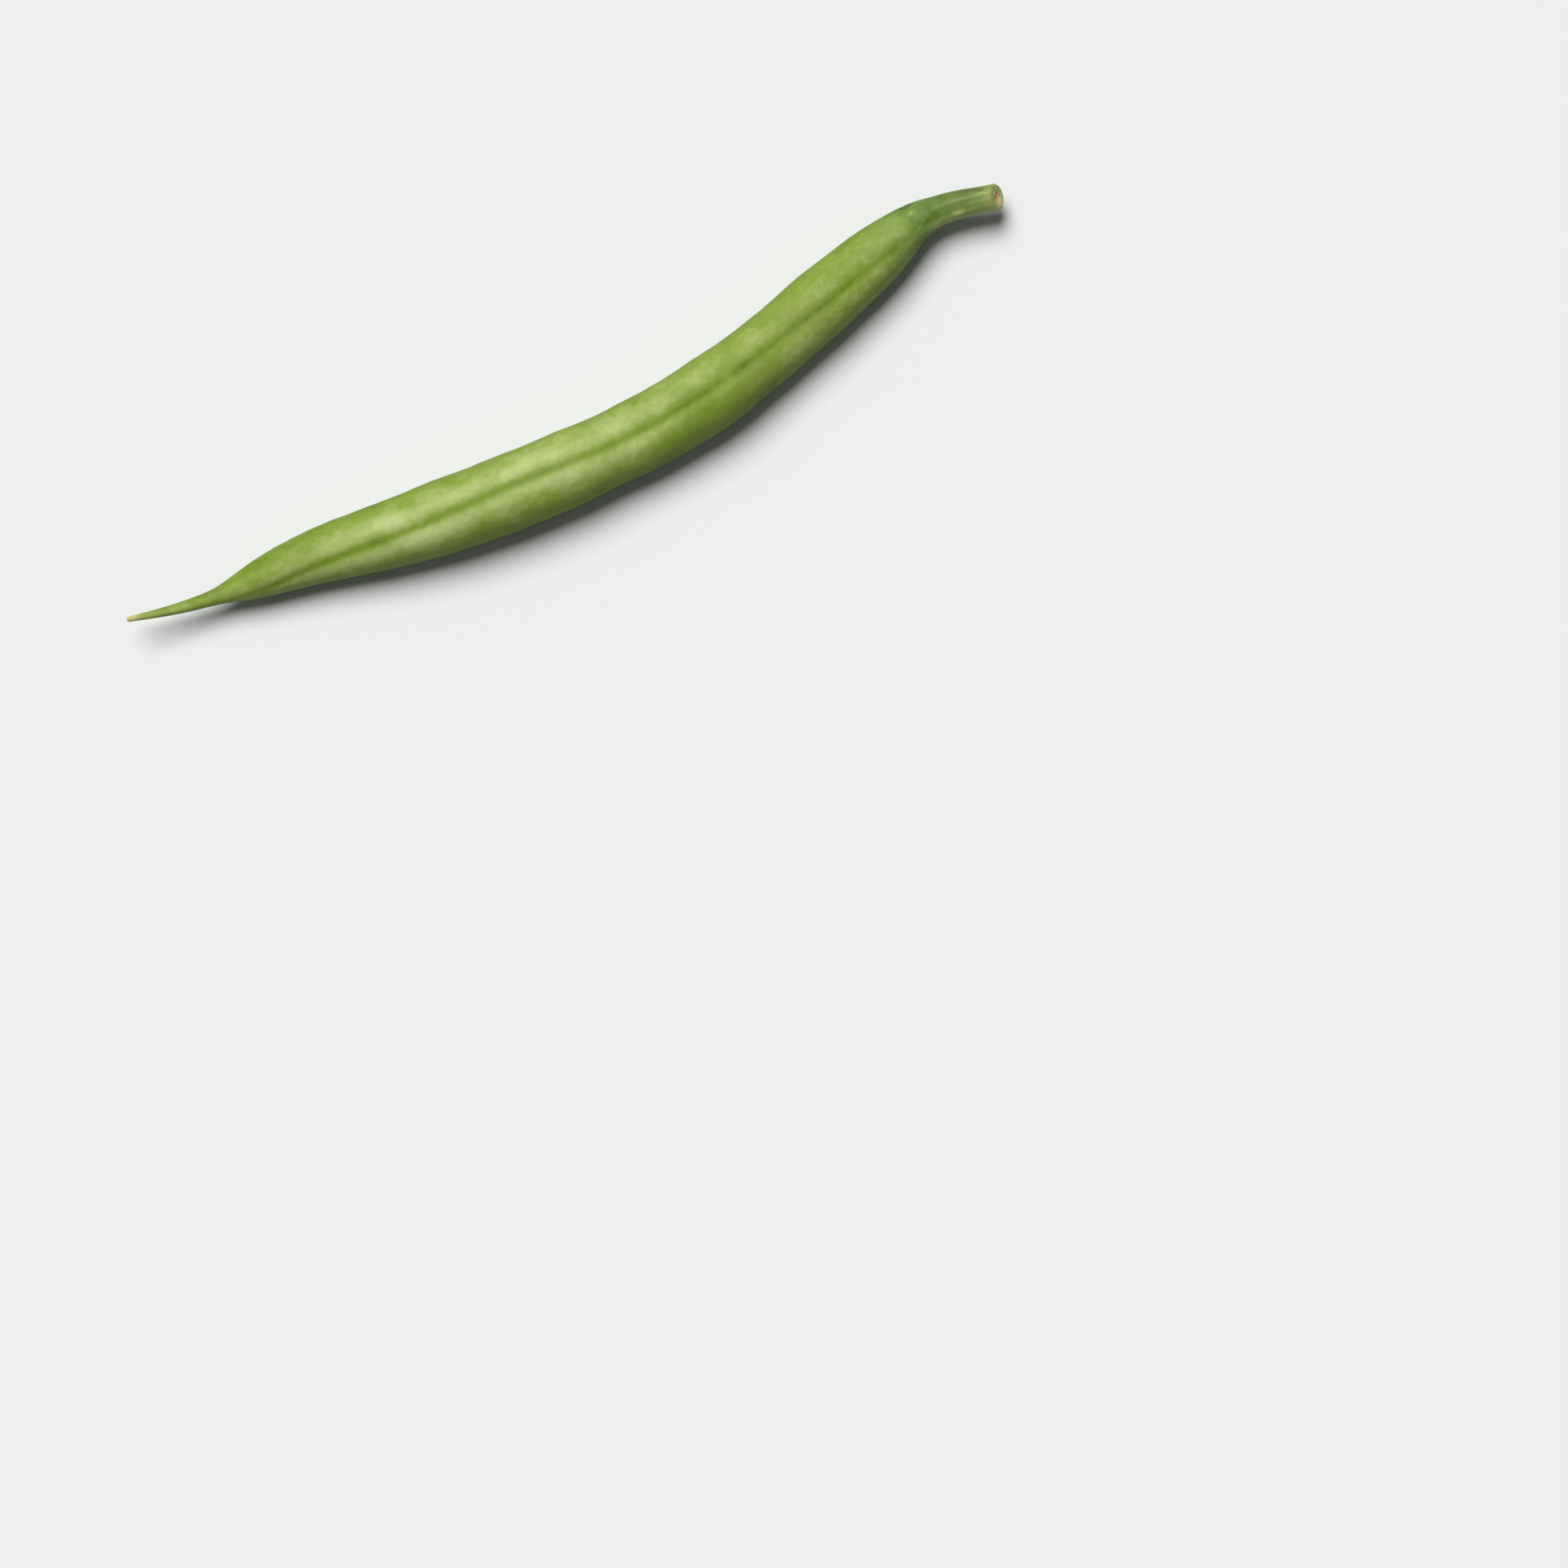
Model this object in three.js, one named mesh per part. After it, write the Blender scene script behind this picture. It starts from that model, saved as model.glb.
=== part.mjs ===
// Green bean: one fresh snap bean, picked, lying on its side on a flat surface.
// It is made of the pod with its beak, the calyx that cups the pod's neck, and the cut stem.
// Millimetres, +Z up. +X runs from the beak's tip to the stem's cut end. The origin is on the
// surface the bean lies on, at the middle of the bean's length and width.

import * as THREE from 'three';

// ---- Driving dimensions ----

// Centre line of the whole bean, tip of the beak to cut end of the stem. The pod sags to one
// side of its own chord, the stem hooks back the other way, and both ends lift off the surface.
const SPINE = [
  [0.0, -0.4, 5.3],
  [6.0, -1.8, 4.45],
  [12.5, -2.75, 3.9],
  [19.0, -3.1, 3.65],
  [26.0, -3.6, 3.75],
  [37.5, -5.44, 4.2],
  [49.5, -6.88, 4.63],
  [61.0, -7.72, 4.61],
  [73.0, -7.87, 4.38],
  [85.0, -6.85, 4.4],
  [96.5, -4.26, 4.2],
  [108.0, -1.12, 4.2],
  [116.0, 1.06, 4.1],
  [120.0, 1.98, 4.08],
  [123.6, 1.94, 4.2],
  [127.4, 1.16, 4.42],
  [131.18, 0.03, 4.7],
];

// Outer width of the bean at distances along the spine from the beak's tip: beak, tail that
// swells to the fullest part of the pod, long even middle, shoulder, calyx and stem.
const WIDTH = [
  [0.0, 0.7],
  [4.0, 1.15],
  [9.0, 1.75],
  [12.5, 2.35],
  [15.5, 3.7],
  [19.5, 5.5],
  [26.5, 7.3],
  [33.0, 8.45],
  [38.0, 9.15],
  [43.0, 9.8],
  [48.0, 10.15],
  [54.0, 10.25],
  [60.0, 10.3],
  [68.0, 9.95],
  [77.0, 10.0],
  [83.0, 10.1],
  [89.0, 9.7],
  [95.0, 9.25],
  [101.0, 9.3],
  [105.0, 9.2],
  [109.0, 8.85],
  [113.0, 8.4],
  [116.0, 7.65],
  [118.2, 6.85],
  [120.6, 5.78],
  [122.0, 5.1],
  [125.0, 4.15],
  [128.0, 3.85],
  [131.0, 3.6],
  [134.0, 3.6],
];

// Turn of the pod's seam away from straight up, in degrees, positive towards -Y.
const SEAM_TURN = [
  [0.0, 46],
  [12.0, 44],
  [20.0, 41],
  [25.0, 30],
  [31.0, 19],
  [37.0, 11],
  [43.0, 6.5],
  [50.0, 0],
  [58.0, -3.5],
  [66.0, -2],
  [73.0, -0.5],
  [81.0, -1],
  [90.0, 2],
  [97.0, 6.5],
  [105.0, 11],
  [112.0, 15],
  [119.0, 19],
  [126.0, 17],
];

const POD_HEIGHT_TO_WIDTH = 0.93;
const SEAM_DEPTH = 0.04; // of the pod's half width
const SEAM_HALF_ANGLE = 13.5; // degrees
const LOBE_SWELL = 0.02; // of the half width, on each side of the seam
const LOBE_ANGLE = 40; // degrees from the seam to each lobe's crown
const LOBE_HALF_ANGLE = 22; // degrees
const POD_SHAPE_STARTS = [11, 24]; // distances where the round beak turns into the lobed pod
const POD_SHAPE_ENDS = [108, 119]; // distances where the lobed pod turns round again

const SEED_PITCH = 9.4;
const SEED_SWELL = 0.012; // of the half width
const FIRST_SEED = 29;
const LAST_SEED = 104;

const SHOULDER = 118.6; // where the pod steps down into its neck
const NECK_START = 119.1;
const CALYX_RIM = 119.2;
const POD_TOP = 123.1;
const CALYX_FLOOR = 123.4; // inside face of the cup
const CALYX_TOP = 124.3;
const STEM_START = 124.6;
const CALYX_WALL = 0.4;
const FIT_GAP = 0.3; // clearance between neighbouring pieces
const EDGE_BEVEL = 0.3; // on the closed end of each piece
const SEPALS = 5;
const SEPAL_TIP = 0.5; // how far each rounded sepal tip reaches past the rim's notches
const STEM_FLARE = 0.1; // extra radius of the bruised, cut end
const FLARE_LENGTH = 2.6;
const CUT_SLOPE = 0.42; // how far the cut face leans back for its height, so it looks partly up
const CUT_TURN = 4; // degrees from straight up to the way the cut face looks
const CUT_REACH = 3.5; // length of stem over which its rings lean over into the cut's slope

const FULL_TURN = 360; // degrees
const HALF_TURN = 180; // degrees
const SPINE_SAMPLES = 2000;
const TIP_ANGLES = [60, 30]; // degrees above the beak's last full ring
const POD_STEPS = 80;
const POD_SIDES = 32;
const NECK_STEPS = 4;
const CALYX_STEPS = 5;
const CALYX_SIDES = 25;
const STEM_STEPS = 9;
const STEM_SIDES = 18;

// ---- Curves that all three pieces share ----

/** Returns a smooth function of distance through [distance, value] stations. */
function throughStations(stations) {
  const distances = stations.map(([distance]) => distance);
  const values = stations.map(([, value]) => value);
  const curve = new THREE.CubicInterpolant(distances, values, 1);
  return (distance) => curve.evaluate(distance)[0];
}

const spinePoints = SPINE.map((point) => new THREE.Vector3(...point));
const spine = new THREE.CatmullRomCurve3(spinePoints, false, 'centripetal');
spine.arcLengthDivisions = SPINE_SAMPLES;
const spineLength = spine.getLength();
const widthAt = throughStations(WIDTH);
const seamTurnAt = throughStations(SEAM_TURN);
const up = new THREE.Vector3(0, 0, 1);

/** Half width of the bean's outside at a distance along the spine. */
function outerRadius(distance) {
  return widthAt(distance) / 2;
}

/** One on the lobed pod, falling smoothly to zero on the round beak and on the neck. */
function podness(distance) {
  const rise = THREE.MathUtils.smoothstep(distance, ...POD_SHAPE_STARTS);
  const fall = THREE.MathUtils.smoothstep(distance, ...POD_SHAPE_ENDS);
  return rise * (1 - fall);
}

/** Angle in degrees, brought to between minus and plus half a turn. */
function wrapped(angle) {
  return THREE.MathUtils.euclideanModulo(angle + HALF_TURN, FULL_TURN) - HALF_TURN;
}

/** A bell curve of an angle, one at zero, for an angle and half width in degrees. */
function bell(angle, halfWidth) {
  return Math.exp(-((angle / halfWidth) ** 2));
}

/**
 * Radius of the pod's cross-section as a share of its half width, at an angle in degrees from
 * the seam: an oval, pinched at the seam, with a soft lobe on each side of it.
 */
function podSection(angle) {
  const turn = THREE.MathUtils.degToRad(angle);
  const oval = 1 / Math.hypot(Math.sin(turn), Math.cos(turn) / POD_HEIGHT_TO_WIDTH);
  const seam = SEAM_DEPTH * bell(angle, SEAM_HALF_ANGLE);
  const lobes = LOBE_SWELL * bell(Math.abs(angle) - LOBE_ANGLE, LOBE_HALF_ANGLE);
  return oval - seam + lobes;
}

/** Gentle swelling over each seed, as a share of the half width. */
function seedSwell(distance) {
  const rise = THREE.MathUtils.smoothstep(distance, FIRST_SEED - SEED_PITCH, FIRST_SEED);
  const fall = THREE.MathUtils.smoothstep(distance, LAST_SEED, LAST_SEED + SEED_PITCH);
  const wave = Math.cos((2 * Math.PI * (distance - FIRST_SEED)) / SEED_PITCH);
  return SEED_SWELL * rise * (1 - fall) * wave;
}

/** Factor that turns the round lathed pod into its real cross-section. */
function podFactor(distance, angle) {
  const fromSeam = wrapped(angle - seamTurnAt(distance));
  return 1 + podness(distance) * (podSection(fromSeam) - 1) + seedSwell(distance);
}

// ---- Lathed pieces, bent along the spine ----

/**
 * Bends a body lathed about +Y, whose Y is distance along the spine, onto the spine.
 * radiusFactor(distance, angle) reshapes the round section, with the angle in degrees from
 * straight up, positive towards -Y. distanceShift(distance, angle, radius) moves points along
 * the spine, which runs on straight past its last point. Nothing sinks below the surface: the
 * underside is pressed flat where it rests.
 */
function bendOntoSpine(geometry, radiusFactor, distanceShift) {
  const position = geometry.attributes.position;
  const lathed = new THREE.Vector3();
  for (let i = 0; i < position.count; i += 1) {
    lathed.fromBufferAttribute(position, i);
    const angle = THREE.MathUtils.radToDeg(Math.atan2(lathed.x, lathed.z));
    const radius = Math.hypot(lathed.x, lathed.z);
    const distance = lathed.y + distanceShift(lathed.y, angle, radius);
    const share = THREE.MathUtils.clamp(distance / spineLength, 0, 1);
    const along = spine.getTangentAt(share);
    const sideways = new THREE.Vector3().crossVectors(along, up).normalize();
    const upwards = new THREE.Vector3().crossVectors(sideways, along);
    const reach = radius * radiusFactor(distance, angle);
    const turn = THREE.MathUtils.degToRad(angle);
    const point = spine.getPointAt(share).addScaledVector(along, distance - share * spineLength);
    point.addScaledVector(sideways, reach * Math.sin(turn));
    point.addScaledVector(upwards, reach * Math.cos(turn));
    position.setXYZ(i, point.x, point.y, Math.max(point.z, 0));
  }
  geometry.computeVertexNormals();
  return geometry;
}

const round = () => 1;
const unshifted = () => 0;

/** Distances evenly spaced from one station to another, both included. */
function spaced(from, to, steps) {
  return Array.from({ length: steps + 1 }, (_, i) => THREE.MathUtils.lerp(from, to, i / steps));
}

/** A profile point for the lathe: a radius at a distance along the spine. */
function ring(radius, distance) {
  return new THREE.Vector2(radius, distance);
}

/** Radius of the pod's neck, which leaves room for the calyx wall and the gap around it. */
function neckRadius(distance) {
  return outerRadius(distance) - CALYX_WALL - FIT_GAP;
}

/** Profile of a round cap that closes a piece at distance 0, from its pole outwards. */
function capProfile(radius) {
  const rings = TIP_ANGLES.map((angle) => {
    const turn = THREE.MathUtils.degToRad(angle);
    return ring(radius * Math.cos(turn), radius * (1 - Math.sin(turn)));
  });
  return [ring(0, 0), ...rings];
}

function podGeometry() {
  const tipRadius = outerRadius(0);
  const body = spaced(tipRadius, SHOULDER, POD_STEPS).map((s) => ring(outerRadius(s), s));
  const neckEnd = POD_TOP - EDGE_BEVEL;
  const neck = spaced(NECK_START, neckEnd, NECK_STEPS).map((s) => ring(neckRadius(s), s));
  const top = [ring(neckRadius(POD_TOP) - EDGE_BEVEL, POD_TOP), ring(0, POD_TOP)];
  const profile = [...capProfile(tipRadius), ...body, ...neck, ...top];
  return bendOntoSpine(new THREE.LatheGeometry(profile, POD_SIDES), podFactor, unshifted);
}

/** Moves the cup's rim, but not its floor, so that it ends in rounded sepal tips. */
function sepalShift(distance, angle) {
  const nearRim = 1 - THREE.MathUtils.smoothstep(distance, CALYX_RIM, CALYX_FLOOR);
  const wave = 0.5 - 0.5 * Math.cos(THREE.MathUtils.degToRad(angle * SEPALS));
  return SEPAL_TIP * nearRim * wave;
}

function calyxGeometry() {
  const innerRing = (s) => ring(neckRadius(s) + FIT_GAP, s);
  const inside = spaced(CALYX_FLOOR, CALYX_RIM, NECK_STEPS).map(innerRing);
  const outsideEnd = CALYX_TOP - EDGE_BEVEL;
  const outside = spaced(CALYX_RIM, outsideEnd, CALYX_STEPS).map((s) => ring(outerRadius(s), s));
  const top = [ring(outerRadius(CALYX_TOP) - EDGE_BEVEL, CALYX_TOP), ring(0, CALYX_TOP)];
  const profile = [ring(0, CALYX_FLOOR), ...inside, ...outside, ...top];
  return bendOntoSpine(new THREE.LatheGeometry(profile, CALYX_SIDES), round, sepalShift);
}

/** Leans the stem's last rings over, so that the cut face slopes and looks partly up. */
function cutShift(distance, angle, radius) {
  const nearCut = THREE.MathUtils.smoothstep(distance, spineLength - CUT_REACH, spineLength);
  const fromFacing = THREE.MathUtils.degToRad(angle - CUT_TURN);
  return -CUT_SLOPE * nearCut * radius * Math.cos(fromFacing);
}

function stemGeometry() {
  const start = STEM_START + EDGE_BEVEL;
  const end = spineLength - EDGE_BEVEL;
  const sides = spaced(start, end, STEM_STEPS).map((s) => {
    const nearCut = THREE.MathUtils.smoothstep(s, spineLength - FLARE_LENGTH, spineLength);
    return ring(outerRadius(s) + STEM_FLARE * nearCut, s);
  });
  const startRim = ring(outerRadius(STEM_START) - EDGE_BEVEL, STEM_START);
  const cutRim = ring(outerRadius(spineLength) + STEM_FLARE - EDGE_BEVEL, spineLength);
  const profile = [ring(0, STEM_START), startRim, ...sides, cutRim, ring(0, spineLength)];
  return bendOntoSpine(new THREE.LatheGeometry(profile, STEM_SIDES), round, cutShift);
}

// ---- Materials and assembly ----

const podSkin = new THREE.MeshStandardMaterial({ color: '#93ad55', roughness: 0.55, metalness: 0 });
const calyxSkin = new THREE.MeshStandardMaterial({ color: '#6f8f3d', roughness: 0.65, metalness: 0 });
const stemSkin = new THREE.MeshStandardMaterial({ color: '#67873b', roughness: 0.6, metalness: 0 });

/** A named piece of the bean. */
function piece(name, geometry, material) {
  const mesh = new THREE.Mesh(geometry, material);
  mesh.name = name;
  return mesh;
}

const bean = new THREE.Group();
bean.add(
  piece('pod', podGeometry(), podSkin),
  piece('calyx', calyxGeometry(), calyxSkin),
  piece('stem', stemGeometry(), stemSkin),
);

const extent = new THREE.Box3().setFromObject(bean);
const middle = extent.getCenter(new THREE.Vector3());
bean.position.set(-middle.x, -middle.y, -extent.min.z);
bean.updateMatrixWorld(true);

export default bean;
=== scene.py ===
"""A fresh green bean lying on a pale surface, in three grown pieces on one centre line.

The pieces are the pod with its beak, the calyx that cups the pod's neck, and the cut stem. Each
is a closed skin worked out on a grid of two numbers: the distance along the spine, which is the
bean's centre line, and the turn round it. Sizes are in millimetres until a mesh is made.
"""

import logging
from dataclasses import dataclass, field
from enum import Enum

import bpy
import numpy as np
from mathutils import Euler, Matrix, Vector


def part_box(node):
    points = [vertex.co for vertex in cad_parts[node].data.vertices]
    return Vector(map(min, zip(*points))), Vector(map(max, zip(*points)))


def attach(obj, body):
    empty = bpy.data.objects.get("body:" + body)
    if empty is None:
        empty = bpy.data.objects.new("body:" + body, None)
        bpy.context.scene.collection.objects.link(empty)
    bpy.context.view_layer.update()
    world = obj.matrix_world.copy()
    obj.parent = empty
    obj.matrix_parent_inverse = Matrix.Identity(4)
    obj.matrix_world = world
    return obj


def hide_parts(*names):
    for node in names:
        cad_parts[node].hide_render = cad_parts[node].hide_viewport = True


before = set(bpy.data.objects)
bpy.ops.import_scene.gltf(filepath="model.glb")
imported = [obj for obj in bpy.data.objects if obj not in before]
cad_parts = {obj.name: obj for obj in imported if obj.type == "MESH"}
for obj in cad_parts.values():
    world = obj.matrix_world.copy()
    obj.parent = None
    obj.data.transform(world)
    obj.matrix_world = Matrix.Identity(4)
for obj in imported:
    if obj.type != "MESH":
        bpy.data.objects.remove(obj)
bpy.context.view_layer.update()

MM = 0.001  # metres in a millimetre
BODY = "root"
ALONG = (1.0, 0.0, 0.0)  # the way along the straightened bean

Array = np.ndarray
Stations = tuple[tuple[float, ...], ...]
Stops = tuple[tuple[float, str], ...]
Pair = tuple[float, float]
Colour = tuple[float, float, float, float]
Socket = bpy.types.NodeSocket

log = logging.getLogger("green_bean")


class Part(Enum):
    """The bean's pieces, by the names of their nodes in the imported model."""

    POD = "pod"
    CALYX = "calyx"
    STEM = "stem"


class Layer(Enum):
    """The measures that a skin carries at each point for its finish to read."""

    GRAIN = "grain"  # the point's place on the bean as if it were straight, in metres
    TONE = "tone"  # how light the skin is, from 0 to 1
    COOLNESS = "coolness"  # how far the green turns to the stalk's cooler green, from 0 to 1
    WARMTH = "warmth"  # how far the green turns to straw, from 0 to 1
    SCAR = "scar"  # how far the surface is dry, brown or torn, from 0 to 1


# ---- Shapes of numbers ----


def smoothstep(value: Array, low: float, high: float) -> Array:
    """Returns 0 up to low, 1 from high on, and 3 u² - 2 u³ of the share u of the way between."""
    share = np.clip((value - low) / (high - low), 0.0, 1.0)
    return share * share * (3.0 - 2.0 * share)


def bell(value: Array, half_width: float) -> Array:
    """Returns e to the minus square of value over half_width: 1 at zero, 0 far from it."""
    return np.exp(-np.square(value / half_width))


def turned_from(turn: Array, centre: Array | float) -> Array:
    """Returns the shortest signed turn from centre to turn, in radians."""
    return np.angle(np.exp(1j * (turn - centre)))


def turns_round(columns: int) -> Array:
    """Returns a row of turns that go once round the spine in equal steps, in radians."""
    return np.linspace(0.0, 2.0 * np.pi, columns, endpoint=False)[None, :]


def linear(hexadecimal: str) -> Colour:
    """Returns a colour in linear light: near black a share of the screen's, above it a power.

    Args:
        hexadecimal: The screen colour, such as "#7c9a45".

    Returns:
        Red, green, blue and an alpha of 1.
    """
    screen = np.array([int(hexadecimal[i : i + 2], 16) for i in (1, 3, 5)]) / 255.0
    low, high = screen / 12.92, ((screen + 0.055) / 1.055) ** 2.4
    return (*np.where(screen <= 0.04045, low, high).tolist(), 1.0)


@dataclass(frozen=True)
class Rise:
    """A smooth step from 0 at its start to its size at its end, and beyond it."""

    start: float  # it lies past the end in a step that falls
    end: float
    size: float = 1.0

    def __call__(self, place: Array) -> Array:
        """Returns the size times a smoothstep of the place."""
        return self.size * smoothstep(place, self.start, self.end)


@dataclass(frozen=True)
class Hump:
    """A bell on a line, or a dip if its size is less than 0."""

    middle: float
    half_width: float  # how far from its middle it has fallen to a third
    size: float = 1.0

    def __call__(self, place: Array) -> Array:
        """Returns the size times a bell of the distance from the middle."""
        return self.size * bell(place - self.middle, self.half_width)


class SmoothCurve:
    """A smooth line through stations, a natural cubic spline.

    Between two stations a value is a cubic of the place. The cubics' slopes and bends agree at
    each station, and the bend is zero at both ends.
    """

    def __init__(self, stations: Stations | Array) -> None:
        """Solves the line of equations that make the slopes agree at the inner stations.

        Args:
            stations: Places in order, each followed by one or more values.
        """
        table = np.array(stations, dtype=float)
        self.places, self.values = table[:, 0], table[:, 1:]
        gap = np.diff(self.places)
        slope = np.diff(self.values, axis=0) / gap[:, None]
        system = np.eye(len(table))
        inner = np.arange(1, len(table) - 1)
        system[inner, inner - 1] = gap[:-1]
        system[inner, inner] = 2.0 * (gap[:-1] + gap[1:])
        system[inner, inner + 1] = gap[1:]
        wanted = np.zeros_like(self.values)
        wanted[1:-1] = 6.0 * np.diff(slope, axis=0)
        self.bends = np.linalg.solve(system, wanted)

    def __call__(self, place: Array | float) -> Array:
        """Reads the line: the near stations' values by their nearness, plus their bends' pull.

        Args:
            place: Where to read it. Past an end, the end's value is returned.

        Returns:
            The values, with a last axis only if there are several at each place.
        """
        place = np.clip(np.asarray(place, dtype=float), self.places[0], self.places[-1])
        right = np.clip(np.searchsorted(self.places, place), 1, len(self.places) - 1)
        left = right - 1
        gap = (self.places[right] - self.places[left])[..., None]
        far = (place - self.places[left])[..., None] / gap
        near = 1.0 - far
        straight = near * self.values[left] + far * self.values[right]
        pull = (near**3 - near) * self.bends[left] + (far**3 - far) * self.bends[right]
        result = straight + pull * gap**2 / 6.0
        return result[..., 0] if result.shape[-1] == 1 else result


@dataclass(frozen=True)
class Ripple:
    """A smooth random unevenness over a skin, seeded so that it never changes."""

    seed: int
    height: float = 1.0  # about how far it goes up and down
    waves: int = 14  # how many it is made of
    shortest: float = 7.0  # the shortest and longest wave along the spine
    longest: float = 26.0
    most_turns: int = 3  # how many times a wave may go round the skin

    def __call__(self, distance: Array, turn: Array) -> Array:
        """Returns the height times a sum of cosines over the root of their count.

        Each has a random wavelength along the spine, goes round the skin a random whole number
        of times, so that it closes, and has a random phase.

        Args:
            distance: Places along the spine.
            turn: Turns round it, in radians.

        Returns:
            The unevenness.
        """
        draw = np.random.default_rng(self.seed)
        wavelength = draw.uniform(self.shortest, self.longest, self.waves)
        rounds = draw.integers(-self.most_turns, self.most_turns + 1, self.waves)
        phase = draw.uniform(0.0, 2.0 * np.pi, self.waves)
        total = np.zeros(np.broadcast(distance, turn).shape)
        for length, whole, start in zip(wavelength, rounds, phase):
            total += np.cos(2.0 * np.pi * distance / length + whole * turn + start)
        return self.height * total / np.sqrt(self.waves)


@dataclass(frozen=True)
class Spot:
    """An oval place on the skin, strongest in its middle and fading out smoothly."""

    distance: float  # its middle, along the spine
    turn: float  # its middle, round the spine, in degrees
    length: float  # its half length along the spine
    width: float  # its half width round the skin
    strength: float = 1.0

    def __call__(self, distance: Array, turn: Array, radius: Array) -> Array:
        """Returns the strength times a bell along the spine and a bell of the arc round it."""
        arc = turned_from(turn, np.radians(self.turn)) * radius
        return self.strength * bell(distance - self.distance, self.length) * bell(arc, self.width)


# ---- The spine, which the pieces share ----


@dataclass
class Spine:
    """The bean's centre line, from the beak's tip to the stem's cut end, and its girth.

    The pod sags to one side of its own chord, the stem hooks back the other way, and both ends
    lift off the surface.
    """

    points: Stations = (
        (0, -0.4, 5.3), (6, -1.8, 4.45), (12.5, -2.75, 3.9), (19, -3.1, 3.65),
        (26, -3.6, 3.75), (37.5, -5.44, 4.2), (49.5, -6.88, 4.63), (61, -7.72, 4.61),
        (73, -7.87, 4.38), (85, -6.85, 4.4), (96.5, -4.26, 4.2), (108, -1.12, 4.2),
        (116, 1.06, 4.1), (120, 1.98, 4.08), (123.6, 1.94, 4.2), (127.4, 1.16, 4.42),
        (131.18, 0.03, 4.7),
    )
    widths: Stations = (
        (0, 0.7), (4, 1.15), (9, 1.75), (12.5, 2.35), (15.5, 3.7), (19.5, 5.5), (26.5, 7.3),
        (33, 8.45), (38, 9.15), (43, 9.8), (48, 10.15), (54, 10.25), (60, 10.3), (68, 9.95),
        (77, 10), (83, 10.1), (89, 9.7), (95, 9.25), (101, 9.3), (105, 9.2), (109, 8.85),
        (113, 8.4), (116, 7.65), (118.2, 6.85), (120.6, 5.78), (122, 5.1), (125, 4.15),
        (128, 3.85), (131, 3.6), (134, 3.6),
    )
    samples: int = 4001
    step: float = 0.05  # how far before and behind a place its direction is measured
    softness: float = 0.05  # how gently the skin bends where it is pressed flat
    origin: Array = field(default_factory=lambda: np.zeros(3))
    length: float = field(init=False)
    curve: SmoothCurve = field(init=False)
    chord_places: Array = field(init=False)
    distances: Array = field(init=False)

    def __post_init__(self) -> None:
        """Fits the curve by the length of its chords, and measures the distance along it."""
        places = np.array(self.points)
        chords = np.linalg.norm(np.diff(places, axis=0), axis=1)
        chord_sum = np.concatenate([[0.0], np.cumsum(chords)])
        self.curve = SmoothCurve(np.column_stack([chord_sum, places]))
        self.chord_places = np.linspace(0.0, chord_sum[-1], self.samples)
        steps = np.linalg.norm(np.diff(self.curve(self.chord_places), axis=0), axis=1)
        self.distances = np.concatenate([[0.0], np.cumsum(steps)])
        self.length = float(self.distances[-1])

    def at(self, distance: Array | float) -> Array:
        """Returns the points at distances along it, with a last axis of x, y and z."""
        return self.curve(np.interp(distance, self.distances, self.chord_places)) + self.origin

    def radius(self, distance: Array | float) -> Array:
        """Returns half the bean's width at distances along the spine."""
        return 0.5 * SmoothCurve(self.widths)(distance)

    def skin(self, distance: Array, turn: Array, reach: Array) -> Array:
        """Returns points at a reach from the spine, which runs on straight past the cut end.

        Each point is the spine's place, plus reach times the turn's sine sideways, plus reach
        times its cosine upwards, both square to the spine. Sideways is level, and points to -Y
        where the spine runs to +X. What would sink below the surface is pressed flat on it:
        height becomes the mean of itself and the root of the sum of its square and softness's.

        Args:
            distance: Places along the spine.
            turn: Turns round it, in radians.
            reach: Distances out from it.

        Returns:
            The points, in millimetres, with a last axis of x, y and z.
        """
        held = np.clip(distance, 0.0, self.length)
        ahead = self.at(np.minimum(held + self.step, self.length))
        along = ahead - self.at(np.maximum(held - self.step, 0.0))
        along /= np.linalg.norm(along, axis=-1, keepdims=True)
        sideways = np.cross(along, [0.0, 0.0, 1.0])
        sideways /= np.linalg.norm(sideways, axis=-1, keepdims=True)
        points = self.at(held) + along * (distance - held)[..., None]
        points = points + (reach * np.sin(turn))[..., None] * sideways
        points = points + (reach * np.cos(turn))[..., None] * np.cross(sideways, along)
        height = points[..., 2]
        points[..., 2] = 0.5 * (height + np.sqrt(height**2 + self.softness**2))
        return points


# ---- Shared by what is built ----


def placed(data: bpy.types.ID) -> bpy.types.Object:
    """Puts a mesh, a lamp or a camera into the scene.

    Args:
        data: What the object shows or holds.

    Returns:
        The object, at the world's origin.
    """
    made = bpy.data.objects.new(data.name, data)
    bpy.context.scene.collection.objects.link(made)
    return made


def straightened(distance: Array, turn: Array, reach: Array) -> Array:
    """Returns each point's place on the bean as if its spine were straight, for the grain."""
    return np.stack([distance, reach * np.sin(turn), reach * np.cos(turn)], axis=-1)


# ---- Finishes ----


@dataclass(frozen=True)
class Clouds:
    """A cloudy pattern in a skin."""

    scale: float  # how many clouds there are to the metre
    detail: float  # how many layers of finer clouds lie over them
    depth: float  # how strongly they show


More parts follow.
